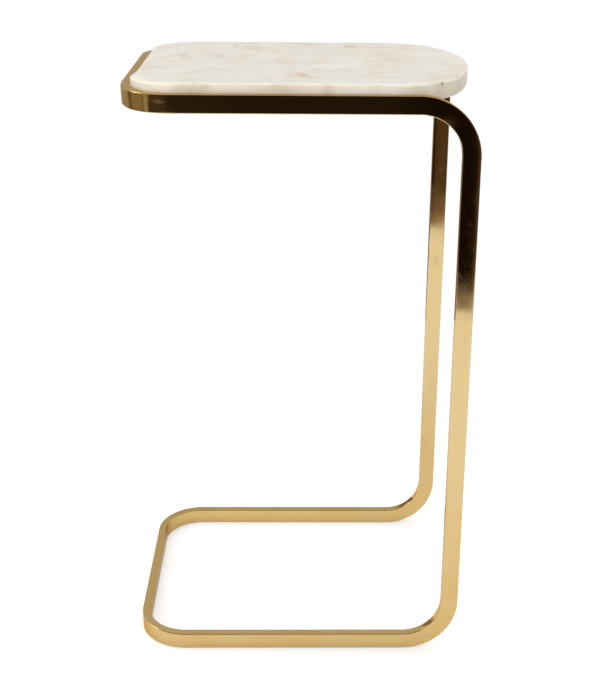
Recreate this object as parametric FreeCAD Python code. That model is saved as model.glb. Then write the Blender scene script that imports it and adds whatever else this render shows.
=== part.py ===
import FreeCAD, Part
import math
import os
from FreeCAD import Vector

# C shaped side table, in millimetres. A loop of solid brass flat bar stands on its lower half and
# carries a quartz slab in its upper half. The open end faces -X and the two columns stand at +X,
# so the base slides under a seat while the slab reaches over it. -Y is the front, +Z is up.
# The origin lies on the floor, in the middle of the frame.

# Frame, measured over the outside of the bar
frame_length = 370.0
frame_depth = 290.0
frame_height = 650.0

# Flat bar: its tall side is upright in the rails, its thin side is the width seen from above
bar_height = 19.0
bar_thickness = 9.5
bar_edge_radius = 1.2

# Bends, as radii on the inside of the bar
column_bend_inner_radius = 44.0
top_corner_inner_radius = 52.5
base_corner_inner_radius = 45.5
bow_arm_length = 11.0            # straight stretch of a bow from its larger corner to the weld

# Quartz slab
slab_thickness = 18.0
slab_rise = 10.0                 # how far the slab stands above the rails
slab_side_gap = 0.5              # clearance to the inside of the rails
slab_bow_gap = 4.5               # clearance to the inside of the bow, to lower the slab in
slab_end_setback = 1.5           # from the outside of the columns back to the slab's nose
slab_nose_radius = 235.0         # plan radius of the bowed end between the columns
slab_nose_corner_radius = 68.0
slab_top_edge_radius = 4.5
slab_arris = 2.0                 # small chamfer round the underside, as on any sawn slab

# Cross straps welded between the rails, below the slab
strap_width = 28.0
strap_thickness = 3.0
left_strap_inset = 88.0          # open end of the frame to the middle of the strap
right_strap_inset = 112.0        # outside of the columns to the middle of the strap
weld_leg = 3.0
weld_end_margin = 1.5            # strap edge to the end of its weld

# Pads, inserts, screws and washers: two of each on a strap
fastener_spacing = 190.0         # across the table
pad_diameter = 24.0
pad_thickness = 1.5
insert_diameter = 8.0
insert_length = 10.0
insert_glue_gap = 0.05           # radial, to the hole in the stone
insert_hole_depth_play = 0.5     # left empty above the insert
screw_diameter = 5.0
screw_reach = 8.0                # length of thread inside the insert
screw_thread_gap = 0.05          # radial, thread to insert
screw_hole_play = 0.25           # radial, in pad, strap and washer
screw_tip_chamfer = 0.6
head_diameter = 9.5
head_height = 2.75
head_crown_diameter = 4.6        # flat middle of the button head
socket_across_flats = 3.0
socket_depth = 1.5
washer_diameter = 12.0
washer_thickness = 1.0

# Levels and faces that several pieces share
columns_outside = frame_length / 2
open_end = -frame_length / 2
rails_outside = frame_depth / 2
rails_inside = rails_outside - bar_thickness
bow_corner_reach = bar_thickness + max(top_corner_inner_radius, base_corner_inner_radius)
weld_plane = open_end + bow_corner_reach + bow_arm_length
top_rail_underside = frame_height - bar_height
slab_top = frame_height + slab_rise
slab_underside = slab_top - slab_thickness
strap_top = slab_underside - pad_thickness
strap_underside = strap_top - strap_thickness
washer_underside = strap_underside - washer_thickness
strap_places = [open_end + left_strap_inset, columns_outside - right_strap_inset]
screw_radius = screw_diameter / 2
screw_hole_radius = screw_radius + screw_hole_play
flatness = 1e-6                  # an edge this flat counts as lying in a plane

up = Vector(0, 0, 1)


def outline(corners):
    """Closed wire through (point, radius) corners; a radius of 0 keeps its corner sharp."""
    count = len(corners)
    starts, ends, middles = [], [], []
    for i, (point, radius) in enumerate(corners):
        back = (corners[i - 1][0] - point).normalize()
        ahead = (corners[(i + 1) % count][0] - point).normalize()
        half_angle = back.getAngle(ahead) / 2
        reach = radius / math.tan(half_angle)
        starts.append(point + back * reach)
        ends.append(point + ahead * reach)
        to_centre = (back + ahead).normalize()
        middles.append(point + to_centre * (radius / math.sin(half_angle) - radius))
    edges = []
    for i, (_, radius) in enumerate(corners):
        if radius > 0:
            edges.append(Part.Arc(starts[i], middles[i], ends[i]).toShape())
        edges.append(Part.LineSegment(ends[i], starts[(i + 1) % count]).toShape())
    return Part.Wire(edges)


def edge_radius(wanted, wall):
    """Size of an edge's rounding or chamfer, limited so that two of them still fit on the wall."""
    return min(wanted, 0.45 * wall)


def rounded_bar(wire, thickness):
    """Bar of the given outline and thickness, its long edges rounded and its weld faces flat."""
    bar = Part.Face(wire).extrude(thickness)
    flat_axis = "YLength" if thickness.y else "ZLength"
    long_edges = []
    for edge in bar.Edges:
        box = edge.BoundBox
        in_weld_face = box.XLength < flatness and abs(box.XMin - weld_plane) < flatness
        if getattr(box, flat_axis) < flatness and not in_weld_face:
            long_edges.append(edge)
    return bar.makeFillet(edge_radius(bar_edge_radius, min(bar_height, bar_thickness)), long_edges)


def side_bar(outer_face):
    """C of one bar: top rail, column and base rail, joined by two bends edgeways to the bar."""
    front_face = min(outer_face, outer_face - math.copysign(bar_thickness, outer_face))

    def at(x, z):
        return Vector(x, front_face, z)

    inner_x = columns_outside - bar_height
    outer_radius = column_bend_inner_radius + bar_height
    wire = outline([
        (at(weld_plane, frame_height), 0),
        (at(columns_outside, frame_height), outer_radius),
        (at(columns_outside, 0), outer_radius),
        (at(weld_plane, 0), 0),
        (at(weld_plane, bar_height), 0),
        (at(inner_x, bar_height), column_bend_inner_radius),
        (at(inner_x, top_rail_underside), column_bend_inner_radius),
        (at(weld_plane, top_rail_underside), 0),
    ])
    return rounded_bar(wire, Vector(0, bar_thickness, 0))


def end_bow(underside, inner_radius):
    """U of the same bar, bent flatways, that joins the two side bars at the open end."""
    inner_x = open_end + bar_thickness
    outer_radius = inner_radius + bar_thickness
    wire = outline([
        (Vector(weld_plane, -rails_outside, underside), 0),
        (Vector(open_end, -rails_outside, underside), outer_radius),
        (Vector(open_end, rails_outside, underside), outer_radius),
        (Vector(weld_plane, rails_outside, underside), 0),
        (Vector(weld_plane, rails_inside, underside), 0),
        (Vector(inner_x, rails_inside, underside), inner_radius),
        (Vector(inner_x, -rails_inside, underside), inner_radius),
        (Vector(weld_plane, -rails_inside, underside), 0),
    ])
    return rounded_bar(wire, Vector(0, 0, bar_height))


def edges_at(shape, level):
    """Edges of a shape that lie in the horizontal plane at this level."""
    return [
        edge for edge in shape.Edges
        if edge.BoundBox.ZLength < flatness and abs(edge.BoundBox.ZMin - level) < flatness
    ]


def upright_edges(shape, x_low, x_high):
    """Upright edges of a shape between two places along the table."""
    return [
        edge for edge in shape.Edges
        if edge.BoundBox.ZLength > flatness and x_low < edge.BoundBox.XMin < x_high
    ]


def fastener_points(level):
    """The four points on the straps where a screw passes, at the given level."""
    half = fastener_spacing / 2
    return [Vector(x, y, level) for x in strap_places for y in (-half, half)]


def quartz_slab():
    """Slab that follows the inside of the bow at one end and bows outwards at the other."""
    left = open_end + bar_thickness + slab_bow_gap
    nose = columns_outside - slab_end_setback
    half_width = rails_inside - slab_side_gap
    corner = Vector(left, -half_width, slab_underside)
    slab = Part.makeBox(nose - left, 2 * half_width, slab_thickness, corner)
    nose_centre = Vector(nose - slab_nose_radius, 0, slab_underside)
    reach = 2 * frame_length
    keep = Part.makeCylinder(slab_nose_radius, slab_thickness, nose_centre, up)
    body = Part.makeBox(reach, 2 * half_width, slab_thickness,
                        Vector(nose_centre.x - reach, -half_width, slab_underside))
    slab = slab.common(keep.fuse(body).removeSplitter())
    slab = slab.makeFillet(slab_nose_corner_radius, upright_edges(slab, nose_centre.x, nose))
    slab = slab.makeFillet(top_corner_inner_radius - slab_bow_gap,
                           upright_edges(slab, left - flatness, left + flatness))
    slab = slab.makeFillet(edge_radius(slab_top_edge_radius, slab_thickness),
                           edges_at(slab, slab_top))
    slab = slab.makeChamfer(edge_radius(slab_arris, slab_thickness),
                            edges_at(slab, slab_underside))
    for point in fastener_points(slab_underside):
        slab = slab.cut(Part.makeCylinder(insert_diameter / 2 + insert_glue_gap,
                                          insert_length + insert_hole_depth_play, point, up))
    return slab


def cross_strap(place):
    """Flat brass strap between the rails, with a hole for each of its two screws."""
    corner = Vector(place - strap_width / 2, -rails_inside, strap_underside)
    strap = Part.makeBox(strap_width, 2 * rails_inside, strap_thickness, corner)
    for point in fastener_points(strap_underside):
        if abs(point.x - place) < strap_width / 2:
            strap = strap.cut(Part.makeCylinder(screw_hole_radius, strap_thickness, point, up))
    return strap


def strap_weld(place, side):
    """Fillet weld in the corner between a strap's underside and the inside of a rail."""
    x = place - strap_width / 2 + weld_end_margin
    root = Vector(x, side * rails_inside, strap_underside)
    on_strap = root - Vector(0, side * weld_leg, 0)
    on_rail = root - Vector(0, 0, weld_leg)
    crown = root - Vector(0, side * weld_leg * 0.6, weld_leg * 0.6)
    wire = Part.Wire([
        Part.LineSegment(root, on_strap).toShape(),
        Part.Arc(on_strap, crown, on_rail).toShape(),
        Part.LineSegment(on_rail, root).toShape(),
    ])
    return Part.Face(wire).extrude(Vector(strap_width - 2 * weld_end_margin, 0, 0))


def ring(outer_radius, inner_radius, thickness, point):
    """Flat ring that lies on a point and reaches up by its thickness."""
    outer = Part.makeCylinder(outer_radius, thickness, point, up)
    return outer.cut(Part.makeCylinder(inner_radius, thickness, point, up))


def turned(profile, point):
    """Solid of revolution from (radius, height) edges, stood on a point."""
    solid = Part.Face(Part.Wire(profile)).revolve(Vector(0, 0, 0), up, 360)
    solid.translate(point)
    return solid


def slab_screw(point):
    """Button head screw with a hexagon socket; the point is under its washer."""
    tip = washer_thickness + strap_thickness + pad_thickness + screw_reach
    head_radius = head_diameter / 2
    crown_radius = head_crown_diameter / 2
    dome_rise = (head_radius ** 2 - crown_radius ** 2 - head_height ** 2) / (2 * head_height)
    dome_radius = math.hypot(head_radius, dome_rise)
    rim_angle = math.atan2(-dome_rise, head_radius)
    crown_angle = math.atan2(-head_height - dome_rise, crown_radius)
    middle_angle = (rim_angle + crown_angle) / 2
    crown = Vector(crown_radius, 0, -head_height)
    rim = Vector(head_radius, 0, 0)
    dome = Vector(dome_radius * math.cos(middle_angle), 0,
                  dome_rise + dome_radius * math.sin(middle_angle))
    points = [
        rim,
        Vector(screw_radius, 0, 0),
        Vector(screw_radius, 0, tip - screw_tip_chamfer),
        Vector(screw_radius - screw_tip_chamfer, 0, tip),
        Vector(0, 0, tip),
        Vector(0, 0, -head_height),
        crown,
    ]
    profile = [Part.LineSegment(a, b).toShape() for a, b in zip(points, points[1:])]
    profile.append(Part.Arc(crown, dome, rim).toShape())
    screw = turned(profile, point)
    socket_radius = socket_across_flats / math.sqrt(3)
    socket_mouth = point - up * head_height
    corners = []
    for turn in range(7):
        angle = math.radians(60 * turn)
        offset = Vector(math.cos(angle), math.sin(angle), 0) * socket_radius
        corners.append(socket_mouth + offset)
    return screw.cut(Part.Face(Part.makePolygon(corners)).extrude(up * socket_depth))


parts = {
    "front_side_bar": side_bar(-rails_outside),
    "rear_side_bar": side_bar(rails_outside),
    "top_end_bow": end_bow(top_rail_underside, top_corner_inner_radius),
    "base_end_bow": end_bow(0, base_corner_inner_radius),
    "left_cross_strap": cross_strap(strap_places[0]),
    "right_cross_strap": cross_strap(strap_places[1]),
    "strap_welds": Part.makeCompound(
        [strap_weld(place, side) for place in strap_places for side in (-1, 1)]),
    "quartz_slab": quartz_slab(),
    "slab_pads": Part.makeCompound(
        [ring(pad_diameter / 2, screw_hole_radius, pad_thickness, point)
         for point in fastener_points(strap_top)]),
    "threaded_inserts": Part.makeCompound(
        [ring(insert_diameter / 2, screw_radius + screw_thread_gap, insert_length, point)
         for point in fastener_points(slab_underside)]),
    "slab_screws": Part.makeCompound(
        [slab_screw(point) for point in fastener_points(washer_underside)]),
    "screw_washers": Part.makeCompound(
        [ring(washer_diameter / 2, screw_hole_radius, washer_thickness, point)
         for point in fastener_points(washer_underside)]),
}

os.makedirs("parts", exist_ok=True)
for name, shape in parts.items():
    shape.exportStep(f"parts/{name}.step")
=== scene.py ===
import math
import bmesh
import bpy
from mathutils import Matrix, Vector


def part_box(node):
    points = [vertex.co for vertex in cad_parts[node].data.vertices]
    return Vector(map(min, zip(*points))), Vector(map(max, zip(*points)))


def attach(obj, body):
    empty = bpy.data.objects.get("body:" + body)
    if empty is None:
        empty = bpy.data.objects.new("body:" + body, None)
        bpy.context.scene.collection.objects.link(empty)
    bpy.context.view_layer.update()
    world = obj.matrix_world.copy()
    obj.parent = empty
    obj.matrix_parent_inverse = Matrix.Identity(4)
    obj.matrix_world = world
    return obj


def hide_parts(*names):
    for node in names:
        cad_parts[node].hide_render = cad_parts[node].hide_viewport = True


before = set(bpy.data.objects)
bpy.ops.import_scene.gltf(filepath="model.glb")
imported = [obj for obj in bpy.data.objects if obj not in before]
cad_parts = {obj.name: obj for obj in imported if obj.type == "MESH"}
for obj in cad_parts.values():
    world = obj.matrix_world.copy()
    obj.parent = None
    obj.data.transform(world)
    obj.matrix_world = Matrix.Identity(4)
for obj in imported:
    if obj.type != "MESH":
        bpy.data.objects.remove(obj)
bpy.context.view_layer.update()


# ---- Side bars -----------------------------------------------------------------------------------
# The front and rear C are solid brass flat bar, 19 x 9.5 mm. Each is bent edgeways twice, into top
# rail, column and base rail; its long edges are eased and its faces polished to a mirror.
mm = 0.001                          # metres
bar_height = 19 * mm
bar_thickness = 9.5 * mm
bar_edge_radius = 0.8 * mm
bar_edge_segments = 6
bar_face_cuts = 7                   # lines that divide a face for its crown
bar_crown = 0.06 * mm               # how far the polishing wheel has rounded a face
column_bend_radius = 63 * mm        # outside of the bar
column_bend_steps = 48
crease_angle = math.radians(32)     # edges that turn more are shaded sharp
brass_light = (0.77, 0.62, 0.345, 1)
brass_gold = (0.80, 0.57, 0.25, 1)
brass_deep = (0.78, 0.53, 0.20, 1)
brass_edge_tint = (0.80, 0.66, 0.44, 1)
polish_wave = 0.35 * mm             # slow waves and fine lines that the wheel leaves in a face
polish_line = 0.002 * mm
column_foot = (30 * mm, 100 * mm)   # heights over which those lines turn upright, and level again
column_head = (560 * mm, 630 * mm)
painted_shade_fade = (20 * mm, 300 * mm)     # heights over which the painted shade near the floor fades and the brass grows lighter
rear_column_twist = -0.025          # slope of the rear bar's faces, which lean to the right
# Hazy places: middle and half length, depth and height in millimetres, then strength
bar_hazes = [((-139, -145, 643), (12, 12, 4.5), 1.0), ((-92, -145, 640), (16, 12, 4), 0.3),
             ((-131, -145, 632), (13, 12, 2.5), 1.0), ((147, -145, 622), (18, 12, 14), 0.4)]


class Ink:
    """A shader socket that takes part in Python sums; draw() adds any other node."""

    def __init__(self, tree, socket=None):
        self.tree = tree
        self.socket = socket

    def draw(self, kind, settings=None, output=0, **inputs):
        """Adds a node. Its sockets go by identifier or name, with _ for each space."""
        node = self.tree.nodes.new("ShaderNode" + kind)
        for name, value in (settings or {}).items():
            setattr(node, name, value)
        for name, value in inputs.items():
            names = (s for s in node.inputs if name in (s.identifier, s.name.replace(" ", "_")))
            if isinstance(value, Ink):
                self.tree.links.new(value.socket, next(names))
            else:
                next(names).default_value = value
        return Ink(self.tree, node.outputs[output])

    def maths(self, operation, first, second=0.0):
        """One Math node, on values or sockets."""
        return self.draw("Math", {"operation": operation}, Value=first, Value_001=second)

    def __add__(self, other):
        return self.maths("ADD", self, other)

    def __sub__(self, other):
        return self.maths("SUBTRACT", self, other)

    def __rsub__(self, other):
        return self.maths("SUBTRACT", other, self)

    def __mul__(self, other):
        return self.maths("MULTIPLY", self, other)

    __radd__ = __add__
    __rmul__ = __mul__

    def rise(self, low, high):
        """0 below low, 1 above high, and a smooth rise between them."""
        return self.draw("MapRange", {"interpolation_type": "SMOOTHSTEP"},
                         Value=self, From_Min=low, From_Max=high)

    def tint(self, first, second):
        """Colour that goes from the first to the second as this value goes from 0 to 1."""
        return self.draw("Mix", {"data_type": "RGBA"}, 2,
                         Factor_Float=self, A_Color=first, B_Color=second)


def blank_material(name):
    """A material with an output node alone: the material, an Ink to draw with, and that node."""
    material = bpy.data.materials.new(name)
    material.use_nodes = True
    material.node_tree.nodes.clear()
    output = material.node_tree.nodes.new("ShaderNodeOutputMaterial")
    return material, Ink(material.node_tree), output


def finish(ink, output, relief, **inputs):
    """Principled surface with a relief in metres, joined to its material's output."""
    worn = ink.draw("Bump", Strength=1.0, Distance=1.0, Height=relief)
    surface = ink.draw("BsdfPrincipled", Normal=worn, **inputs)
    ink.tree.links.new(surface.socket, output.inputs["Surface"])


def spot_distance(ink, place, centre, reach, turn=0):
    """Distance from an oval spot's middle, which is 1 at its edge. Sizes are in millimetres."""
    spot = ink.draw("Mapping", {"vector_type": "TEXTURE"}, Vector=place,
                    Location=tuple(c * mm for c in centre), Rotation=(0, 0, math.radians(turn)),
                    Scale=tuple(r * mm for r in reach))
    return ink.draw("VectorMath", {"operation": "LENGTH"}, "Value", Vector=spot)


def polished_brass(name, twist=0.0):
    """Mirror polish with what the wheel leaves: lines along the bar, hazy spots, slow ripples; and
    painted shade, deeper gold towards the floor.
    """
    material, ink, output = blank_material(name)
    place = ink.draw("TexCoord", output="Object")
    across = ink.draw("SeparateXYZ", output="X", Vector=place)
    height = ink.draw("SeparateXYZ", output="Z", Vector=place)
    cloud = ink.draw("TexNoise", Vector=place, Scale=24.0, Detail=3.0)
    haze = ink.draw("TexNoise", Vector=place, Scale=60.0, Detail=2.0)
    ripple = ink.draw("TexNoise", Vector=place, Scale=18.0, Detail=1.0)
    upright = ink.draw("Mapping", Vector=place, Scale=(700.0, 700.0, 7.0))
    level = ink.draw("Mapping", Vector=place, Scale=(7.0, 700.0, 700.0))
    upright_lines = ink.draw("TexNoise", Vector=upright, Scale=1.0, Detail=2.0)
    level_lines = ink.draw("TexNoise", Vector=level, Scale=1.0, Detail=2.0)
    in_column = height.rise(*column_foot) * (1 - height.rise(*column_head))
    lines = level_lines + in_column * (upright_lines - level_lines)
    streaks = lines.rise(0.3, 0.7)
    gold = (cloud.rise(0.35, 0.65) * 0.5 + streaks * 0.5).tint(brass_gold, brass_deep)
    # Painted shade: low down, the brass is painted a deeper gold, for the shaded paper that it
    # mirrors by the floor.
    colour = height.rise(*painted_shade_fade).tint(gold, streaks.tint(brass_light, brass_gold))
    roughness = 0.05 + 0.04 * cloud.rise(0.3, 0.8) + 0.09 * haze.rise(0.60, 0.75) + 0.03 * lines
    hazy = 0.0
    for centre, reach, strength in bar_hazes:
        away = spot_distance(ink, place, centre, reach)
        hazy = (1 - away.rise(0.1, 1.0)) * strength + hazy
    hazy = hazy * (0.5 + 0.5 * streaks)
    finish(ink, output, ripple * polish_wave + lines * polish_line + across * twist,
           Base_Color=hazy.tint(colour, brass_deep), Metallic=1.0,
           Roughness=roughness + hazy * 0.5, Specular_Tint=brass_edge_tint)
    return material


def bar_section(maker, x, y, z):
    """Face of the bar's section, crowned and with eased corners, round a point of its run."""
    bmesh.ops.create_grid(maker, x_segments=1, y_segments=1, size=0.5)
    upright = Matrix.Rotation(math.radians(-90), 3, "Y")
    bmesh.ops.rotate(maker, matrix=upright, verts=maker.verts)
    bmesh.ops.scale(maker, vec=(1, bar_thickness, bar_height), verts=maker.verts)
    bmesh.ops.bevel(maker, geom=maker.verts[:], affect="VERTICES", offset=bar_edge_radius,
                    segments=bar_edge_segments, profile=0.5, material=-1)
    flats = [e for e in maker.edges if e.calc_length() > 2 * bar_edge_radius]
    bmesh.ops.subdivide_edges(maker, edges=flats, cuts=bar_face_cuts)
    for vert in maker.verts:
        share_z = vert.co.z / (bar_height / 2)
        share_y = vert.co.y / (bar_thickness / 2)
        vert.co.y -= math.copysign(bar_crown, vert.co.y) * share_z ** 2
        vert.co.z -= math.copysign(bar_crown, vert.co.z) * share_y ** 2 / 2
    bmesh.ops.translate(maker, vec=(x, y, z), verts=maker.verts)
    return maker.verts[:] + maker.edges[:] + maker.faces[:]


def carry(maker, tip, shift=(0, 0, 0), centre=(0, 0, 0), axis=(0, 0, 1), turn=0, steps=1):
    """Draws a point, wire or face along a straight run or round a bend; returns its new tip."""
    swept = bmesh.ops.spin(maker, geom=tip, cent=centre, axis=axis, dvec=Vector(shift) / steps,
                           angle=math.radians(turn), steps=steps)
    return swept["geom_last"]


def fit_piece(name, maker, material, nodes):
    """Object made of a bmesh. It rides with the table and stands for the nodes named."""
    bmesh.ops.recalc_face_normals(maker, faces=maker.faces)
    mesh = bpy.data.meshes.new(name)
    maker.to_mesh(mesh)
    maker.free()
    mesh.materials.append(material)
    mesh.shade_smooth()
    mesh.set_sharp_from_angle(angle=crease_angle)
    piece = bpy.data.objects.new(name, mesh)
    bpy.context.scene.collection.objects.link(piece)
    evener = piece.modifiers.new("even_shading", "WEIGHTED_NORMAL")
    evener.keep_sharp = True
    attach(piece, "root")
    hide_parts(*nodes)


def side_bar(name, node, material):
    """C of flat bar, carried from its top weld through both bends to its base weld."""
    low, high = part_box(node)
    middle = (low.y + high.y) / 2
    reach = high.x - low.x - column_bend_radius
    drop = high.z - low.z - 2 * column_bend_radius
    bend_x = high.x - column_bend_radius
    maker = bmesh.new()
    tip = bar_section(maker, low.x, middle, high.z - bar_height / 2)
    tip = carry(maker, tip, shift=(reach, 0, 0))
    tip = carry(maker, tip, centre=(bend_x, middle, high.z - column_bend_radius), axis=(0, 1, 0),
                turn=90, steps=column_bend_steps)
    tip = carry(maker, tip, shift=(0, 0, -drop))
    tip = carry(maker, tip, centre=(bend_x, middle, low.z + column_bend_radius), axis=(0, 1, 0),
                turn=90, steps=column_bend_steps)
    carry(maker, tip, shift=(-reach, 0, 0))
    fit_piece(name, maker, material, [node])


brass = polished_brass("polished_brass")
side_bar("front_bar", "front_side_bar", brass)
side_bar("rear_bar", "rear_side_bar", polished_brass("polished_brass_rear", rear_column_twist))


# ---- End bows ------------------------------------------------------------------------------------
# The same bar bent flatways into two U shapes, one at the top and one on the floor. Each is butt
# welded to both side bars, and its seams are filed flush and polished away.
top_front_radius = 57 * mm          # outside of the bar; the top bow is bent a little unevenly
top_rear_radius = 42 * mm
top_front_flat = (2.0 * mm, 2.9 * mm)   # its front corner is flattened, most at the lower edge
top_flat_middle = -108 * mm
top_flat_half_length = 38 * mm
base_corner_radius = 55 * mm
bow_corner_steps = 40
bow_straight_steps = 24             # the flattened place runs on into the straight


def end_bow(name, node, front_radius, rear_radius, flat=(0.0, 0.0)):
    """U of flat bar, carried from its front weld round the open end to its rear weld."""
    low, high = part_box(node)
    span = high.y - low.y - front_radius - rear_radius
    front_x = low.x + front_radius
    maker = bmesh.new()
    tip = bar_section(maker, high.x, low.y + bar_thickness / 2, (low.z + high.z) / 2)
    tip = carry(maker, tip, shift=(front_x - high.x, 0, 0))
    tip = carry(maker, tip, centre=(front_x, low.y + front_radius, 0), turn=-90,
                steps=bow_corner_steps)
    tip = carry(maker, tip, shift=(0, span, 0), steps=bow_straight_steps)
    tip = carry(maker, tip, centre=(low.x + rear_radius, high.y - rear_radius, 0), turn=-90,
                steps=bow_corner_steps)
    carry(maker, tip, shift=(high.x - low.x - rear_radius, 0, 0))
    for vert in maker.verts:
        if vert.co.x < front_x:
            share = (vert.co.y - top_flat_middle) / top_flat_half_length
            inward = flat[0] + (flat[1] - flat[0]) * (high.z - vert.co.z) / bar_height
            vert.co.x += inward * max(0.0, 1 - share ** 2) ** 2
    fit_piece(name, maker, brass, [node])


end_bow("top_bow", "top_end_bow", top_front_radius, top_rear_radius, top_front_flat)
end_bow("base_bow", "base_end_bow", base_corner_radius, base_corner_radius)


# ---- Quartz slab ---------------------------------------------------------------------------------
# Blocks of natural white quartz, bonded side by side and sawn into one 18 mm slab. Its outline
# follows the bow at one end and swells at the other; the top edge is rounded and polished, and
# four blind holes in the underside take the threaded inserts.
slab_low, slab_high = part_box("quartz_slab")
slab_left_setback = 1.4 * mm        # ground back along the bow, by hand
slab_front_left_radius = 51 * mm
slab_rear_left_radius = 49 * mm
slab_nose_radius = 235 * mm
slab_nose_corner_radius = 68 * mm
slab_top_edge_radius = 2.5 * mm
slab_arris = 2 * mm                 # along its lower edge
slab_corner_swell = 4.5 * mm        # the front left corner stands out again below its top edge
slab_corner_swell_run = (50 * mm, 95 * mm)
slab_corner_swell_shares = (0.2, 0.8)   # parts of it at the top edge and the underside
slab_nose_swell = 2.4 * mm          # and so does the nose, behind its middle
slab_nose_swell_middle = 42 * mm
slab_nose_swell_half_length = 80 * mm
slab_top_fall = 0.6 * mm            # from the front edge to the rear edge
# Heights over which the top's colour gives way to the sides' beige, which also lies on the rounded
# top edge as painted shade.
slab_side_and_edge_shade = (slab_high.z - 1.5 * mm, slab_high.z - 0.1 * mm)
same_place = 0.01 * mm              # points that are closer count as one
insert_hole_radius = 4.05 * mm
insert_hole_depth = 10.5 * mm
hole_segments = 40
fastener_half_spacing = 95 * mm

stone_cream = (0.87, 0.810, 0.695, 1)
stone_grey = (0.80, 0.775, 0.705, 1)
stone_white = (0.90, 0.875, 0.82, 1)
stone_beige = (0.82, 0.73, 0.60, 1)
stone_sand = (0.62, 0.52, 0.35, 1)
stone_rust = (0.70, 0.47, 0.22, 1)
stone_brown = (0.28, 0.19, 0.11, 1)
# Grey of the grain and of grey spots, also used for painted shade at the rear edge
stone_grey_and_shade = (0.55, 0.55, 0.51, 1)
stone_wander = (14 * mm, 14 * mm, 6 * mm)   # how far noise bends the pattern
stone_rear_shade = (122 * mm, 135 * mm)     # where painted shade greys it, towards its rear edge
stone_grain = 0.012 * mm                    # relief of grain, cracks and clouds
stone_crack = 0.04 * mm
stone_cloud = 0.2 * mm

# Spots in the stone: middle and half length, width and depth in millimetres, then degrees of turn
white_spots = [((-89, -30, 660), (26, 9, 9), -70), ((-138, -92, 660), (32, 13, 9), -60),
               ((138, 94, 660), (17, 9, 9), -70), ((-78, -134, 658), (6, 4, 2.5), 0),
               ((40, -30, 660), (34, 10, 9), 10), ((-40, 30, 660), (30, 14, 9), 30),
               ((85, -110, 660), (40, 12, 9), 0), ((89.5, -135, 654), (1.6, 4, 9), 0)]
# The three grey spots near the rear edge, at y 124 to 128 mm, are painted shade; the others are
# grey in the stone.
grey_spots_and_rear_shade = [((-148, -45, 660), (26, 7, 9), -45), ((-88, 28, 660), (28, 7, 9), -75),
              ((-63, -35, 660), (5, 8, 6), 20), ((-61, 124, 660), (18, 9, 9), 0),
              ((1, 127, 660), (26, 8, 9), 0), ((83, 128, 660), (15, 8, 9), -10),
              ((163, -96, 656), (13, 9, 14), -50), ((150, -60, 660), (12, 8, 9), 0)]
sand_spots = [((-124, 20, 660), (34, 7, 9), -78), ((-110, -136, 654), (28, 7, 7), 0),
              ((-95, -136, 655), (12, 6, 5), 0), ((-22, -136, 655), (36, 7, 6), 0),
              ((29, -136, 654), (6.5, 9, 9), 0), ((80, -136, 654), (10, 8, 7), 0),
              ((118, -134, 654), (28, 9, 7), 8), ((146, -122, 654), (12, 10, 9), 35),
              ((-6, -86, 660), (10, 9, 6), 0), ((60, 104, 660), (10, 12, 9), 0)]
rust_spots = [((6, -88, 660), (10, 24, 9), 20), ((-35, 94, 660), (2.6, 5, 6), 0),
              ((57, 109, 660), (6, 5, 6), 0), ((50, 88, 660), (1.2, 14, 5), 4),
              ((127, 72, 660), (2.6, 2.2, 4), 0), ((-104, -137, 650), (8, 3, 4), 0)]
brown_specks = [((143, -124, 660), (1.4, 4.0, 4.0), 0), ((146, -121, 660), (2.2, 4.2, 5.0), 0),
                ((151.5, -117, 660), (1.9, 4.2, 5.0), 0), ((162, -90, 660), (1.2, 4.0, 4), -20)]
cracks = [((-140, 75, 660), (23, 0.7, 20), -78), ((-131, 27, 660), (27, 0.6, 20), -82),
          ((15.5, -13, 660), (25, 0.9, 20), 54), ((53, -55, 660), (21, 0.9, 20), -15),
          ((93, 25, 660), (12, 0.8, 20), -15), ((-20, 60, 660), (18, 0.5, 20), -30),
          ((35, -135, 654), (0.5, 4, 9), 0), ((23, -135, 654), (0.5, 4, 9), 0),
          ((-109.5, -135, 652), (0.6, 4, 6), 0), ((91, -135, 652), (0.5, 4, 7), 0)]


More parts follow.
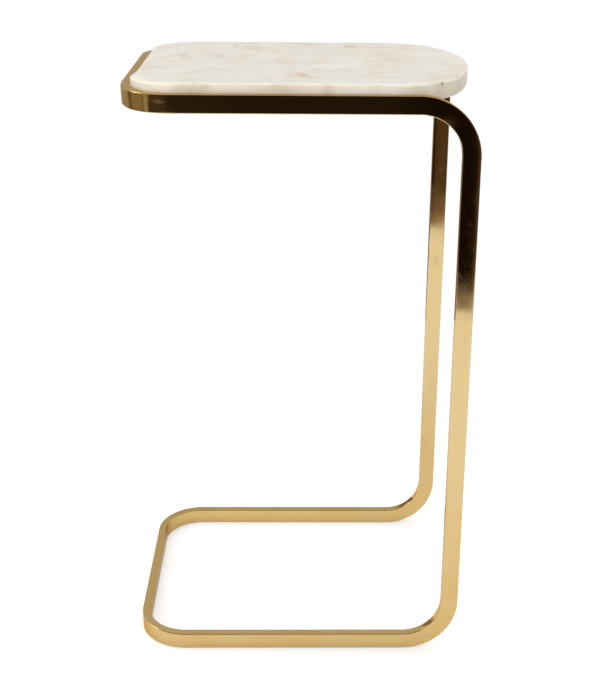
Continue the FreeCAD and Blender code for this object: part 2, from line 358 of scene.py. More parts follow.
def quartz():
    """Cloudy crystal in bonded blocks, with veils, stains, hair cracks and sanded layers; painted
    shade greys its rear edge and dulls its rounded top edge.
    """
    material, ink, output = blank_material("quartz")
    place = ink.draw("TexCoord", output="Object")
    wander = ink.draw("TexNoise", output="Color", Vector=place, Scale=38.0, Detail=4.0)
    bent = ink.draw("VectorMath", {"operation": "MULTIPLY_ADD"}, "Vector", Vector=wander,
                    Vector_001=stone_wander, Vector_002=place)
    # wander is 0.5 on average, so the bent place comes back by half of its reach
    bent = ink.draw("VectorMath", {"operation": "SUBTRACT"}, "Vector", Vector=bent,
                    Vector_001=tuple(reach / 2 for reach in stone_wander))
    height = ink.draw("SeparateXYZ", output="Z", Vector=place)

    def spread(spots, edge=0.35):
        """1 inside any of the oval spots and 0 outside them, with soft edges."""
        mask = None
        for centre, reach, turn in spots:
            near = 1 - spot_distance(ink, bent, centre, reach, turn).rise(edge, 1.0)
            mask = near if mask is None else ink.maths("MAXIMUM", mask, near)
        return mask

    def noise(scale, detail, vector=bent, stretch=(1, 1, 1)):
        """Noise drawn out along the axes with a small stretch value."""
        drawn = ink.draw("Mapping", Vector=vector, Scale=stretch)
        return ink.draw("TexNoise", Vector=drawn, Scale=scale, Detail=detail)

    blocks = ink.draw("Mapping", Vector=bent, Scale=(17.0, 9.0, 9.0))
    block_tone = ink.draw("SeparateXYZ", output="X", Vector=ink.draw(
        "TexVoronoi", output="Color", Vector=blocks, Scale=1.0))
    seam = ink.draw("TexVoronoi", {"feature": "DISTANCE_TO_EDGE"}, Vector=blocks, Scale=1.0)
    seam_line = 1 - seam.rise(0.004, 0.03)
    cloud = noise(13.0, 5.0, stretch=(1, 0.6, 1))
    veil = noise(34.0, 7.0, stretch=(1, 0.5, 1))
    grain = noise(420.0, 4.0, vector=place)
    layer = noise(40.0, 5.0, stretch=(0.25, 0.25, 4.5))
    side = 1 - height.rise(*slab_side_and_edge_shade)
    rear = ink.draw("SeparateXYZ", output="Y", Vector=bent).rise(*stone_rear_shade)
    patchy = 0.4 + 0.6 * veil.rise(0.38, 0.58)
    fleck = noise(95.0, 7.0, stretch=(0.45, 1, 1))
    pale = noise(26.0, 9.0, stretch=(0.6, 1, 1)).rise(0.46, 0.66) * fleck.rise(0.30, 0.60)

    colour = (block_tone * 0.5).tint(stone_cream, stone_grey)
    colour = (cloud.rise(0.45, 0.65) * 0.6).tint(colour, stone_grey)
    colour = veil.rise(0.46, 0.62).tint(colour, stone_beige)
    colour = (pale * 0.8).tint(colour, stone_white)
    colour = (fleck.rise(0.50, 0.68) * 0.28).tint(colour, stone_sand)
    # Painted shade: the stone is greyed towards its rounded rear edge.
    colour = (rear * patchy * 0.8).tint(colour, stone_grey_and_shade)
    colour = (spread(grey_spots_and_rear_shade, 0.1) * patchy * 0.45).tint(colour, stone_grey_and_shade)
    colour = (spread(white_spots, 0.1) * patchy * 0.7).tint(colour, stone_white)
    # Sides painted beige in layers: partly the sawn stone's own colour, partly painted shade that
    # dulls the rounded top edge.
    colour = (side * (0.25 + 0.7 * layer.rise(0.4, 0.6))).tint(colour, stone_beige)
    sand = spread(sand_spots, 0.3) * (0.3 + 0.7 * layer.rise(0.35, 0.6))
    colour = (sand * 0.55).tint(colour, stone_sand)
    colour = (spread(rust_spots, 0.2) * (0.55 + 0.35 * patchy)).tint(colour, stone_rust)
    colour = (spread(brown_specks) * 0.9).tint(colour, stone_brown)
    fine_line = spread(cracks) + seam_line * 0.25 * veil.rise(0.4, 0.6)
    colour = (fine_line * 0.45).tint(colour, stone_brown)
    colour = (grain.rise(0.45, 0.75) * 0.15).tint(colour, stone_grey_and_shade)
    roughness = 0.26 + 0.10 * cloud.rise(0.35, 0.65) + 0.08 * grain
    finish(ink, output, grain * stone_grain - fine_line * stone_crack + cloud * stone_cloud,
           Base_Color=colour, Roughness=roughness, IOR=1.54, Subsurface_Weight=0.15,
           Subsurface_Radius=(1.0, 0.8, 0.6), Subsurface_Scale=6 * mm)
    return material


def points_in(parts):
    """The vertices among the parts of a mesh that an operator gave back."""
    return [part for part in parts if isinstance(part, bmesh.types.BMVert)]


def raise_faces(maker, faces, rise):
    """Draws flat faces upwards into a solid."""
    raised = bmesh.ops.extrude_face_region(maker, geom=faces)["geom"]
    bmesh.ops.translate(maker, vec=(0, 0, rise), verts=points_in(raised))


def sink_hole(maker, mouth, depth):
    """Draws the edges of a hole's mouth upwards into its wall, and closes its end."""
    wall = bmesh.ops.extrude_edge_only(maker, edges=mouth)["geom"]
    bmesh.ops.translate(maker, vec=(0, 0, depth), verts=points_in(wall))
    end = [part for part in wall if isinstance(part, bmesh.types.BMEdge)]
    bmesh.ops.contextual_create(maker, geom=end)


def fastener_points(level):
    """The four places where a screw passes through a strap, at a height."""
    places = []
    for strap in ("left_cross_strap", "right_cross_strap"):
        low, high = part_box(strap)
        for side in (-1, 1):
            places.append(Vector(((low.x + high.x) / 2, side * fastener_half_spacing, level)))
    return places


def drill_insert_holes(maker):
    """Opens the underside round each insert and sinks a blind hole there."""
    underside = min(maker.faces, key=lambda f: f.calc_center_median().z)
    bmesh.ops.delete(maker, geom=[underside], context="FACES_ONLY")
    rim = [e for e in maker.edges if e.is_boundary]
    mouths = []
    for point in fastener_points(slab_low.z):
        before = set(maker.edges)
        bmesh.ops.create_circle(maker, segments=hole_segments, radius=insert_hole_radius,
                                matrix=Matrix.Translation(point))
        mouths.append([e for e in maker.edges if e not in before])
    bmesh.ops.triangle_fill(maker, use_beauty=True, edges=rim + sum(mouths, []), normal=(0, 0, -1))
    for mouth in mouths:
        sink_hole(maker, mouth, insert_hole_depth)


def quartz_slab():
    """Outline drawn all the way round, raised to a slab, eased round its rims and drilled."""
    maker = bmesh.new()
    half_width = (slab_high.y - slab_low.y) / 2
    left_x = slab_low.x + slab_left_setback
    front_x, front_y = left_x + slab_front_left_radius, slab_front_left_radius - half_width
    rear_x, rear_y = left_x + slab_rear_left_radius, half_width - slab_rear_left_radius
    nose_x = slab_high.x - slab_nose_radius
    gap_y = half_width - slab_nose_corner_radius
    gap_x = math.sqrt((slab_nose_radius - slab_nose_corner_radius) ** 2 - gap_y ** 2)
    nose_turn = math.degrees(math.atan2(gap_y, gap_x))
    tip = [maker.verts.new((left_x, rear_y, slab_low.z))]
    tip = carry(maker, tip, shift=(0, front_y - rear_y, 0), steps=32)
    tip = carry(maker, tip, centre=(front_x, front_y, 0), turn=90, steps=20)
    tip = carry(maker, tip, shift=(nose_x + gap_x - front_x, 0, 0), steps=40)
    tip = carry(maker, tip, centre=(nose_x + gap_x, -gap_y, 0), turn=90 - nose_turn, steps=24)
    tip = carry(maker, tip, centre=(nose_x, 0, 0), turn=2 * nose_turn, steps=40)
    tip = carry(maker, tip, centre=(nose_x + gap_x, gap_y, 0), turn=90 - nose_turn, steps=24)
    tip = carry(maker, tip, shift=(rear_x - nose_x - gap_x, 0, 0), steps=40)
    carry(maker, tip, centre=(rear_x, rear_y, 0), turn=90, steps=20)
    bmesh.ops.remove_doubles(maker, verts=maker.verts, dist=same_place)
    base = bmesh.ops.contextual_create(maker, geom=maker.edges[:])["faces"]
    raise_faces(maker, base, slab_high.z - slab_low.z)
    for level, offset, segments in ((slab_high.z, slab_top_edge_radius, 8),
                                    (slab_low.z, slab_arris, 2)):
        rim = [e for e in maker.edges if all(abs(v.co.z - level) < same_place for v in e.verts)]
        bmesh.ops.bevel(maker, geom=rim, affect="EDGES", offset=offset, segments=segments,
                        profile=0.5, material=-1)
    start, end = slab_corner_swell_run
    on_top, below = slab_corner_swell_shares
    slab_middle = (slab_low.z + slab_high.z) / 2
    for vert in maker.verts:
        depth = min((slab_high.z - vert.co.z) / slab_top_edge_radius, 1.0)
        if vert.co.x < front_x:
            share = min(max((-vert.co.y - start) / (end - start), 0.0), 1.0)
            swell = on_top + (1 - on_top) * depth if vert.co.z > slab_middle else below
            vert.co.x -= slab_corner_swell * swell * share ** 2 * (3 - 2 * share)
        elif vert.co.x > nose_x:
            share = (vert.co.y - slab_nose_swell_middle) / slab_nose_swell_half_length
            vert.co.x += slab_nose_swell * max(0.0, 1 - share ** 2) ** 2
        vert.co.z -= slab_top_fall * (1 - depth) * (vert.co.y + half_width) / (2 * half_width)
    drill_insert_holes(maker)
    return maker


fit_piece("slab", quartz_slab(), quartz(), ["quartz_slab"])


# ---- Cross straps --------------------------------------------------------------------------------
# Two flat brass straps, 28 x 3 mm, let in between the top rails to carry the slab. They are sawn
# and drilled from brushed strip, with their edges just broken by a file.
strap_hole_radius = 2.75 * mm
strap_edge = 0.4 * mm
strap_rim_angle = math.radians(60)  # edges that turn more are filed
strap_light = (0.76, 0.58, 0.31, 1)
strap_dark = (0.66, 0.49, 0.24, 1)
strap_scratch = 0.02 * mm


def brushed_brass():
    """Mill finish: long scratches along the strip, a dull tone and a few handling stains."""
    material, ink, output = blank_material("brushed_brass")
    place = ink.draw("TexCoord", output="Object")
    along = ink.draw("Mapping", Vector=place, Scale=(1500.0, 12.0, 1500.0))
    scratches = ink.draw("TexNoise", Vector=along, Scale=1.0, Detail=4.0)
    stains = ink.draw("TexNoise", Vector=place, Scale=35.0, Detail=4.0)
    tone = scratches * 0.6 + stains.rise(0.35, 0.7) * 0.4
    finish(ink, output, scratches * strap_scratch, Base_Color=tone.tint(strap_light, strap_dark),
           Metallic=1.0, Roughness=0.26 + 0.16 * scratches)
    return material


def cross_strap(name, node, material):
    """Strip with a hole near each end for a screw, raised to its thickness."""
    low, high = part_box(node)
    middle = (low + high) / 2
    maker = bmesh.new()
    bmesh.ops.create_grid(maker, x_segments=1, y_segments=1, size=0.5)
    bmesh.ops.scale(maker, vec=(high.x - low.x, high.y - low.y, 1), verts=maker.verts)
    bmesh.ops.delete(maker, geom=maker.faces[:], context="FACES_ONLY")
    for side in (-1, 1):
        bmesh.ops.create_circle(maker, segments=hole_segments, radius=strap_hole_radius,
                                matrix=Matrix.Translation((0, side * fastener_half_spacing, 0)))
    bmesh.ops.translate(maker, vec=(middle.x, middle.y, low.z), verts=maker.verts)
    bmesh.ops.triangle_fill(maker, use_beauty=True, edges=maker.edges[:], normal=(0, 0, 1))
    raise_faces(maker, maker.faces[:], high.z - low.z)
    rims = [e for e in maker.edges if e.calc_face_angle(0) > strap_rim_angle]
    bmesh.ops.bevel(maker, geom=rims, affect="EDGES", offset=strap_edge, segments=2, profile=0.5,
                    material=-1)
    fit_piece(name, maker, material, [node])


strip_finish = brushed_brass()
cross_strap("left_strap", "left_cross_strap", strip_finish)
cross_strap("right_strap", "right_cross_strap", strip_finish)


# ---- Strap welds ---------------------------------------------------------------------------------
# A short fillet of brass filler in the corner under each strap end. It is laid by hand in small
# overlapping ripples, then wire brushed, and keeps some of its heat colours.
weld_leg = 3 * mm
weld_end_margin = 1.5 * mm          # strap edge to the end of its weld
weld_ripple = 1.6 * mm              # from one ripple to the next
weld_hollow = 0.88                  # share of the leg between two ripples
weld_crest = 0.07                   # what a ripple adds to it
weld_end_share = 0.6                # share of that at the weld's ends, which run out
weld_end_run = 3 * mm
weld_bright = (0.72, 0.55, 0.30, 1)
weld_burnt = (0.42, 0.26, 0.13, 1)
weld_grain = 0.06 * mm


def weld_brass():
    """Brushed filler with brown heat colour between its ripples."""
    material, ink, output = blank_material("weld_brass")
    place = ink.draw("TexCoord", output="Object")
    heat = ink.draw("TexNoise", Vector=place, Scale=160.0, Detail=3.0)
    grain = ink.draw("TexNoise", Vector=place, Scale=1400.0, Detail=3.0)
    finish(ink, output, grain * weld_grain, Metallic=1.0, Roughness=0.30 + 0.25 * grain,
           Base_Color=heat.rise(0.4, 0.68).tint(weld_bright, weld_burnt))
    return material


def strap_welds():
    """Quarter-round bead, swollen into ripples and repeated at both ends of both straps."""
    low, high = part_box("strap_welds")
    strap_low, strap_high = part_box("left_cross_strap")
    length = strap_high.x - strap_low.x - 2 * weld_end_margin
    maker = bmesh.new()
    tip = [maker.verts.new((0, weld_leg, 0))]
    carry(maker, tip, axis=(1, 0, 0), turn=-90, steps=8)
    maker.verts.new((0, 0, 0))
    section = maker.faces.new(maker.verts[:])
    carry(maker, section.verts[:] + section.edges[:] + [section], shift=(length, 0, 0), steps=96)
    for vert in maker.verts:
        swell = weld_hollow + weld_crest * abs(math.sin(math.pi * vert.co.x / weld_ripple))
        from_end = min(vert.co.x, length - vert.co.x)
        swell *= min(1.0, weld_end_share + from_end / weld_end_run)
        vert.co.yz *= swell
    first = maker.verts[:] + maker.edges[:] + maker.faces[:]
    for strap in ("left_cross_strap", "right_cross_strap"):
        for root_y, side in ((low.y, 1), (high.y, -1)):
            bead = bmesh.ops.duplicate(maker, geom=first)["geom"]
            verts = points_in(bead)
            root = (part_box(strap)[0].x + weld_end_margin, root_y, high.z)
            bmesh.ops.scale(maker, vec=(1, side, 1), verts=verts)
            bmesh.ops.translate(maker, vec=root, verts=verts)
    bmesh.ops.delete(maker, geom=points_in(first))
    return maker


fit_piece("weld_beads", strap_welds(), weld_brass(), ["strap_welds"])


# ---- Slab pads -----------------------------------------------------------------------------------
# Clear rubber washers, 24 mm across, between the straps and the slab. They keep stone off metal and
# take up what the saw left uneven.
pad_radius = 12 * mm
pad_hole_radius = 2.75 * mm
pad_edge = 0.35 * mm
pad_dust = 0.02 * mm
ring_segments = 64
pad_clear = (0.86, 0.87, 0.84, 1)
pad_milky = (0.74, 0.74, 0.70, 1)


def turned_ring(inner, outer, thickness, edge):
    """Ring of rounded rectangular section round the Z axis, turned as on a lathe."""
    maker = bmesh.new()
    bmesh.ops.create_grid(maker, x_segments=1, y_segments=1, size=0.5)
    upright = Matrix.Rotation(math.radians(90), 3, "X")
    bmesh.ops.rotate(maker, matrix=upright, verts=maker.verts)
    bmesh.ops.scale(maker, vec=(outer - inner, 1, thickness), verts=maker.verts)
    bmesh.ops.translate(maker, vec=((inner + outer) / 2, 0, thickness / 2), verts=maker.verts)
    bmesh.ops.bevel(maker, geom=maker.verts[:], affect="VERTICES", offset=edge, segments=3,
                    profile=0.5, material=-1)
    bmesh.ops.delete(maker, geom=maker.faces[:], context="FACES_ONLY")
    bmesh.ops.spin(maker, geom=maker.verts[:] + maker.edges[:], axis=(0, 0, 1),
                   angle=math.radians(360), steps=ring_segments, use_merge=True)
    return maker


def set_at_fasteners(maker, level):
    """Repeats what stands on the origin at each of the four fasteners."""
    first = maker.verts[:] + maker.edges[:] + maker.faces[:]
    for point in fastener_points(level):
        copy = bmesh.ops.duplicate(maker, geom=first)["geom"]
        bmesh.ops.translate(maker, vec=point, verts=points_in(copy))
    bmesh.ops.delete(maker, geom=points_in(first))
    return maker


def clear_rubber():
    """Milky clear rubber with faint flow clouds and dust."""
    material, ink, output = blank_material("clear_rubber")
    place = ink.draw("TexCoord", output="Object")
    flow = ink.draw("TexNoise", Vector=place, Scale=140.0, Detail=4.0)
    dust = ink.draw("TexNoise", Vector=place, Scale=2200.0, Detail=2.0)
    finish(ink, output, dust * pad_dust, Roughness=0.24 + 0.2 * dust, Transmission_Weight=0.45,
           IOR=1.45, Base_Color=flow.rise(0.3, 0.7).tint(pad_clear, pad_milky))
    return material


pad_low, pad_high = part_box("slab_pads")
pad = turned_ring(pad_hole_radius, pad_radius, pad_high.z - pad_low.z, pad_edge)
fit_piece("rubber_pads", set_at_fasteners(pad, pad_low.z), clear_rubber(),
          ["slab_pads"])


# ---- Threaded inserts ----------------------------------------------------------------------------
# Turned brass bushes with a straight knurl, glued into blind holes in the slab's underside. Two
# grooves hold the glue, and an M5 thread takes the screw.
insert_bore = 2.55 * mm
insert_radius = 4 * mm
insert_chamfer = 0.3 * mm
insert_groove_depth = 0.35 * mm
insert_groove_slope = 0.15 * mm
insert_bands = [(0.3 * mm, 3.1 * mm), (3.7 * mm, 6.5 * mm), (7.1 * mm, 9.7 * mm)]   # knurled
insert_knurl_depth = 0.14 * mm
insert_teeth = 36
turned_light = (0.78, 0.61, 0.33, 1)
turned_dark = (0.68, 0.51, 0.26, 1)
turned_groove = 0.01 * mm           # what the tool leaves


def turned_brass():
    """Bright turned brass with fine tool rings."""
    material, ink, output = blank_material("turned_brass")
    place = ink.draw("TexCoord", output="Object")
    rings = ink.draw("Mapping", Vector=place, Scale=(30.0, 30.0, 4000.0))
    tool = ink.draw("TexNoise", Vector=rings, Scale=1.0, Detail=2.0)
    finish(ink, output, tool * turned_groove, Metallic=1.0, Roughness=0.22 + 0.12 * tool,
           Base_Color=tool.rise(0.3, 0.7).tint(turned_light, turned_dark))
    return material


def threaded_inserts():
    """Stack of knurled bands and plain grooves, closed round the bore."""
    low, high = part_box("threaded_inserts")
    length = high.z - low.z
    maker = bmesh.new()
    groove = insert_radius - insert_groove_depth
    outline = [(insert_bore + insert_chamfer, 0), (insert_radius - insert_chamfer, 0)]
    for band, (start, end) in enumerate(insert_bands):
        if band > 0:
            last_end = insert_bands[band - 1][1]
            outline += [(groove, last_end + insert_groove_slope),
                        (groove, start - insert_groove_slope)]
        outline += [(insert_radius, start), (insert_radius, end)]
    outline += [(insert_radius - insert_chamfer, length), (insert_bore + insert_chamfer, length),
                (insert_bore, length - insert_chamfer), (insert_bore, insert_chamfer)]
    verts = [maker.verts.new((radius, 0, height)) for radius, height in outline]
    rim = [maker.edges.new(pair) for pair in zip(verts, verts[1:] + verts[:1])]
    bmesh.ops.spin(maker, geom=verts + rim, axis=(0, 0, 1), angle=math.radians(360),
                   steps=2 * insert_teeth, use_merge=True)
    for vert in maker.verts:
        turn = math.atan2(vert.co.y, vert.co.x) / math.tau * 2 * insert_teeth
        if vert.co.xy.length > insert_radius - same_place and round(turn) % 2:
            vert.co.xy *= 1 - insert_knurl_depth / insert_radius
    return set_at_fasteners(maker, low.z)


fit_piece("insert_bushes", threaded_inserts(), turned_brass(), ["threaded_inserts"])


# ---- Screw washers -------------------------------------------------------------------------------
# Plain stainless washers, 12 mm across, stamped from sheet: one face has the rounded rim that the
# punch leaves.
washer_radius = 6 * mm
washer_hole_radius = 2.75 * mm
washer_edge = 0.2 * mm
steel_light = (0.62, 0.62, 0.61, 1)
steel_dark = (0.50, 0.50, 0.50, 1)
steel_scratch = 0.01 * mm


def plain_steel():
    """Tumbled stainless: even grey with fine random scratches."""
    material, ink, output = blank_material("plain_steel")
    place = ink.draw("TexCoord", output="Object")
    tumble = ink.draw("TexNoise", Vector=place, Scale=900.0, Detail=5.0)
    tone = ink.draw("TexNoise", Vector=place, Scale=90.0, Detail=2.0)
    finish(ink, output, tumble * steel_scratch, Metallic=1.0, Roughness=0.22 + 0.14 * tumble,
           Base_Color=tone.rise(0.3, 0.7).tint(steel_light, steel_dark))
    return material


steel = plain_steel()
washer_low, washer_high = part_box("screw_washers")
washer = turned_ring(washer_hole_radius, washer_radius, washer_high.z - washer_low.z, washer_edge)
fit_piece("steel_washers", set_at_fasteners(washer, washer_low.z), steel,
          ["screw_washers"])


# ---- Slab screws ---------------------------------------------------------------------------------
# M5 button head screws in stainless steel. Each passes through a washer, a strap and a pad into its
# insert, and is turned by a 3 mm hexagon socket from below.
head_radius = 4.75 * mm
head_height = 2.75 * mm
crown_radius = 2.3 * mm             # flat middle of the head
head_rim = 0.25 * mm
socket_radius = 3 * mm / math.sqrt(3)
socket_depth = 1.5 * mm
core_radius = 2.1 * mm
thread_radius = 2.5 * mm
thread_pitch = 0.8 * mm
thread_turns = 13
plain_shank = 1.2 * mm
thread_sunk = 0.1 * mm              # how far the thread's foot lies inside the core
thread_foot_inset = 0.05 * mm
head_undercut = 0.1 * mm
tip_chamfer = 0.5 * mm


def slab_screws():
    """Domed head and core turned in one, a socket sunk into the crown and a thread wound on."""
    low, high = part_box("slab_screws")
    length = high.z - low.z - head_height
    maker = bmesh.new()
    dome_rise = (head_radius ** 2 - crown_radius ** 2 - head_height ** 2) / (2 * head_height)
    rim_angle = math.degrees(math.atan2(dome_rise + head_rim, head_radius))
    crown_angle = math.degrees(math.atan2(head_height + dome_rise, crown_radius))
    tip = [maker.verts.new((crown_radius, 0, -head_height))]
    carry(maker, tip, centre=(0, 0, dome_rise), axis=(0, 1, 0), turn=rim_angle - crown_angle,
          steps=8)
    previous = max(maker.verts, key=lambda v: v.co.z)
    for radius, height in (
        (previous.co.x - head_undercut, 0),
        (thread_radius, 0),
        (thread_radius, plain_shank),
        (core_radius, plain_shank + tip_chamfer),
        (core_radius, length - tip_chamfer),
        (core_radius - tip_chamfer, length),
        (0, length),
    ):
        corner = maker.verts.new((radius, 0, height))
        maker.edges.new((previous, corner))
        previous = corner
    bmesh.ops.spin(maker, geom=maker.verts[:] + maker.edges[:], axis=(0, 0, 1),
                   angle=math.radians(360), steps=48, use_merge=True)
    bmesh.ops.remove_doubles(maker, verts=maker.verts, dist=same_place)
    crown = [e for e in maker.edges if e.is_boundary]
    socket_place = Matrix.Translation((0, 0, -head_height))
    bmesh.ops.create_circle(maker, segments=6, radius=socket_radius, matrix=socket_place)
    mouth = [e for e in maker.edges if e.is_wire]
    bmesh.ops.triangle_fill(maker, use_beauty=True, edges=crown + mouth, normal=(0, 0, -1))
    sink_hole(maker, mouth, socket_depth)
    foot_radius = core_radius - thread_sunk
    ridge = [maker.verts.new((radius, 0, plain_shank + rise)) for radius, rise in
             ((foot_radius, thread_foot_inset), (thread_radius, thread_pitch / 2),
              (foot_radius, thread_pitch - thread_foot_inset))]
    face = maker.faces.new(ridge)
    carry(maker, ridge + face.edges[:] + [face], shift=(0, 0, thread_turns * thread_pitch),
          turn=360 * thread_turns, steps=20 * thread_turns)
    return set_at_fasteners(maker, low.z + head_height)


fit_piece("button_screws", slab_screws(), steel, ["slab_screws"])


# ---- Camera --------------------------------------------------------------------------------------
# It stands straight in front of the table, 0.9 m up, and looks a little down on the slab. The lens
# is shifted a short way, which makes the columns lean less.
picture_size = (600, 690)           # pixels
optical_centre = (320, 280)         # where the lens axis meets the picture, in pixels
focal_pixels = 1229.6
sensor_width = 36.0                 # millimetres, along the picture's long side
camera_place = (0.0022, -1.3520, 0.8884)
camera_pan, camera_tilt, camera_roll = 0.981, -19.692, 0.552     # degrees

camera = bpy.data.objects.new("camera", bpy.data.cameras.new("camera"))
camera.data.sensor_width = sensor_width
camera.data.lens = focal_pixels / picture_size[1] * sensor_width
camera.data.shift_x = (picture_size[0] / 2 - optical_centre[0]) / picture_size[1]
camera.data.shift_y = (optical_centre[1] - picture_size[1] / 2) / picture_size[1]
camera.matrix_world = (
    Matrix.Translation(camera_place)
    @ Matrix.Rotation(math.radians(-camera_pan), 4, "Z")
    @ Matrix.Rotation(math.radians(90 + camera_tilt), 4, "X")
    @ Matrix.Rotation(math.radians(camera_roll), 4, "Z")
)
bpy.context.scene.collection.objects.link(camera)
bpy.context.scene.camera = camera
bpy.context.scene.view_settings.view_transform = "Standard"


# ---- Studio floor --------------------------------------------------------------------------------
# White paper under the table, which keeps its soft shadow. It reads pure white further out, and
# polished brass sees it end a good metre in front of the table.
floor_half_width = 6.0
paper_white = 0.80
paper_glow = 0.36                   # added for the eye and for mirrors alone
mirrored_glow = 0.4                 # share of it that mirrors see
mirrored_share = 0.88               # how white the far paper is in mirrors
paper_left_edge = (-0.88, -0.72)    # where mirrors see the paper end, at both sides
paper_right_edge = (1.15, 1.35)
floor_boards = (0.10, 0.065, 0.035, 1)  # what mirrors see beyond those edges
shadow_reach = (0.35, 0.8)          # from the table's middle: there the paper turns pure white


def studio_paper():
    """Diffuse paper with a little glow that lights nothing."""
    material, ink, output = blank_material("studio_paper")
    place = ink.draw("TexCoord", output="Object")
    distance = ink.draw("VectorMath", {"operation": "LENGTH"}, "Value", Vector=place)
    seen = ink.draw("LightPath", output="Is Camera Ray")
    mirrored = ink.draw("LightPath", output="Is Glossy Ray")
    passed = ink.draw("LightPath", output="Is Transmission Ray")
    side = ink.draw("SeparateXYZ", output="X", Vector=place)
    on_paper = side.rise(*paper_left_edge) * (1 - side.rise(*paper_right_edge))
    beside = mirrored * (1 - on_paper)
    reflected = (mirrored + passed) * mirrored_share
    shown = ink.maths("MINIMUM", seen + reflected, 1.0)
    lit = ink.draw("BsdfDiffuse", Color=(paper_white, paper_white, paper_white, 1))
    glow = ink.draw("Emission", Strength=(seen + reflected * mirrored_glow) * paper_glow)
    near = ink.draw("AddShader", Shader=lit, Shader_001=glow)
    white = ink.draw("Emission", Strength=1.0)
    far = distance.rise(*shadow_reach) * shown
    paper = ink.draw("MixShader", Fac=far, Shader=near, Shader_001=white)
    boards = ink.draw("Emission", Color=floor_boards, Strength=1.0)
    sheet = ink.draw("MixShader", Fac=beside, Shader=paper, Shader_001=boards)
    ink.tree.links.new(sheet.socket, output.inputs["Surface"])
    return material


def stage_sheet(name, size, centre, facing, material):
    """Flat sheet of the studio, which isn't part of the table."""
    maker = bmesh.new()
    bmesh.ops.create_grid(maker, x_segments=1, y_segments=1, size=0.5)
    bmesh.ops.scale(maker, vec=(*size, 1), verts=maker.verts)
    turn = Vector(facing).to_track_quat("Z", "Y").to_matrix()
    bmesh.ops.rotate(maker, matrix=turn, verts=maker.verts)
    bmesh.ops.translate(maker, vec=centre, verts=maker.verts)
    mesh = bpy.data.meshes.new(name)
    maker.to_mesh(mesh)
    maker.free()
    mesh.materials.append(material)
    sheet = bpy.data.objects.new(name, mesh)
    bpy.context.scene.collection.objects.link(sheet)
    return sheet


stage_sheet("studio_floor", (2 * floor_half_width, 2 * floor_half_width), (0, 0, 0), (0, 0, 1),
            studio_paper())


# ---- Studio room ---------------------------------------------------------------------------------
# Glowing cards that only mirrors see. They give the polished brass its surroundings: an unlit brown
# room in front, a striped blind and a high window on the left, and a pale wall close behind.
room_height, room_side, room_back, room_front = 3.2, 2.6, 0.9, -1.275
ember_light = (0.29, 0.15, 0.04, 1)
dark_room = (0.018, 0.0115, 0.0065, 1)
black_room = (0.0085, 0.0045, 0.0022, 1)
brown_room = (0.060, 0.037, 0.022, 1)
warm_corner = (0.088, 0.053, 0.025, 1)
blind_dark = (0.15, 0.105, 0.048, 1)
blind_light = (0.30, 0.225, 0.135, 1)
blind_edge = (0.33, 0.265, 0.165, 1)
wall_dark = (0.24, 0.18, 0.11, 1)
wall_tan = (0.40, 0.35, 0.27, 1)
wall_pale = (0.56, 0.56, 0.56, 1)
wall_lamp = (1.0, 1.0, 0.95, 1)
grey_side = (0.10, 0.095, 0.085, 1)
window_glow = 5.0
window_size = (1.4, 1.5)
window_middle = (0.05 - room_side, 0.4, 2.2)    # just in front of the left card
# Where a card goes over from one tone to the next, across it or up from the floor, in metres
front_blind = (-1.78, -1.60)
front_brown = (-0.8, 0.0)
front_black = (0.15, 0.30)
front_corner = (0.365, 0.385)
front_ember = (0.0, 0.065)
front_ember_step = (0.365, 0.40)    # left of this the glow ends lower
front_ember_drop = 0.023
blind_front_end = (-1.15, -0.95)
blind_rear_end = (0.55, 0.72)
blind_wave = 21.0                   # radians in a metre of slats
back_left_end = (-2.4, -1.4)
back_left = (-0.9, -0.4)
back_foot = (0.30, 0.50)
back_lamp_side = (0.27, 0.37)
back_lamp_foot = (0.42, 0.55)
ceiling_blend = (-0.3, 0.9)


def card(name, size, centre, facing, shine, strength=1.0):
    """Card whose light is a colour, which may depend on the coordinates of a place on it."""
    material, ink, output = blank_material(name)
    place = ink.draw("TexCoord", output="Object")
    axes = [ink.draw("SeparateXYZ", output=axis, Vector=place) for axis in "XYZ"]
    light = ink.draw("Emission", Color=shine(*axes), Strength=strength)
    ink.tree.links.new(light.socket, output.inputs["Surface"])
    sheet = stage_sheet(name, size, centre, facing, material)
    sheet.visible_camera = False
    sheet.visible_diffuse = False
    sheet.visible_transmission = False
    sheet.visible_volume_scatter = False
    sheet.visible_shadow = False


def front_shine(x, y, z):
    """Near black in the middle and brown at both sides, with an ember glow along its foot."""
    room = x.rise(*front_brown).tint(brown_room, dark_room)
    room = x.rise(*front_black).tint(room, black_room)
    room = x.rise(*front_corner).tint(room, warm_corner)
    room = (1 - x.rise(*front_blind)).tint(room, blind_edge)
    foot = z + front_ember_drop * (1 - x.rise(*front_ember_step))
    return (1 - foot.rise(*front_ember)).tint(room, ember_light)


def left_shine(x, y, z):
    """Slats of a blind, with a dark gap at each end."""
    slats = y.maths("SINE", y * blind_wave)
    gap = y.rise(*blind_rear_end) + (1 - y.rise(*blind_front_end)) * 0.6
    return ((1 - gap) * (0.75 + 0.25 * slats)).tint(blind_dark, blind_light)


def back_shine(x, y, z):
    """Pale above and lit at the right. Its foot is dark, with a tan stretch on the left."""
    low = (1 - x.rise(*back_left)).tint(wall_dark, wall_tan)
    low = (1 - x.rise(*back_left_end)).tint(low, blind_dark)
    wall = z.rise(*back_foot).tint(low, wall_pale)
    return (x.rise(*back_lamp_side) * z.rise(*back_lamp_foot)).tint(wall, wall_lamp)


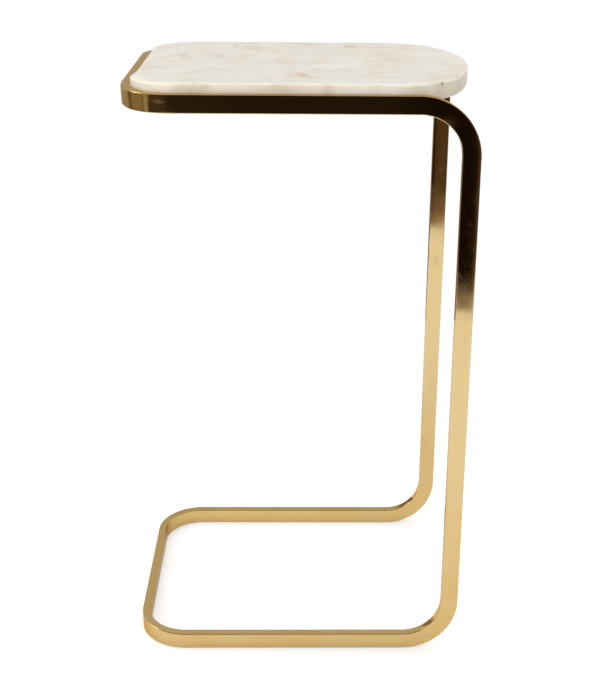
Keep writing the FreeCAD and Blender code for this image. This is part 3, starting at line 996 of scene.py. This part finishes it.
room_depth = room_back - room_front
room_middle = (room_back + room_front) / 2
card("front_card", (2 * room_side, room_height), (0, room_front, room_height / 2), (0, 1, 0),
     front_shine)
card("left_card", (room_depth, room_height), (-room_side, room_middle, room_height / 2), (1, 0, 0),
     left_shine)
card("right_card", (room_depth, room_height), (room_side, room_middle, room_height / 2), (-1, 0, 0),
     lambda x, y, z: grey_side)
card("back_card", (2 * room_side, room_height), (0, room_back, room_height / 2), (0, -1, 0),
     back_shine)
card("ceiling_card", (2 * room_side, room_depth), (0, room_middle, room_height), (0, 0, -1),
     lambda x, y, z: y.rise(*ceiling_blend).tint(dark_room, wall_pale))
card("window_card", window_size, window_middle, (1, 0, 0), lambda x, y, z: (1, 1, 1, 1),
     window_glow)


# ---- Lamps and sky -------------------------------------------------------------------------------
# Two large softboxes and an even white sky. A flat white top reads just under white in their light.
sky_strength = 0.86


def softbox(name, size, centre, target, power):
    """Large soft lamp that mirrors don't show."""
    lamp = bpy.data.lights.new(name, "AREA")
    lamp.shape = "RECTANGLE"
    lamp.size, lamp.size_y = size
    lamp.energy = power
    holder = bpy.data.objects.new(name, lamp)
    aim = Vector(target) - Vector(centre)
    holder.matrix_world = (Matrix.Translation(centre)
                           @ aim.to_track_quat("-Z", "Y").to_matrix().to_4x4())
    holder.visible_glossy = False
    bpy.context.scene.collection.objects.link(holder)


softbox("top_softbox", size=(1.6, 1.6), centre=(-0.5, 0.2, 2.4), target=(0, 0, 0.3), power=8)
softbox("front_softbox", size=(2.4, 1.2), centre=(-1.4, -2.1, 0.75), target=(0, 0, 0.55),
        power=25)

sky = bpy.data.worlds.new("studio_sky")
sky.use_nodes = True
sky.node_tree.nodes.clear()
sky_ink = Ink(sky.node_tree)
sky_seen = sky_ink.draw("LightPath", output="Is Camera Ray")
sky_light = sky_ink.draw("Background", Color=(1, 1, 1, 1),
                         Strength=sky_strength + sky_seen * (1.0 - sky_strength))
sky_output = sky.node_tree.nodes.new("ShaderNodeOutputWorld")
sky.node_tree.links.new(sky_light.socket, sky_output.inputs["Surface"])
bpy.context.scene.world = sky
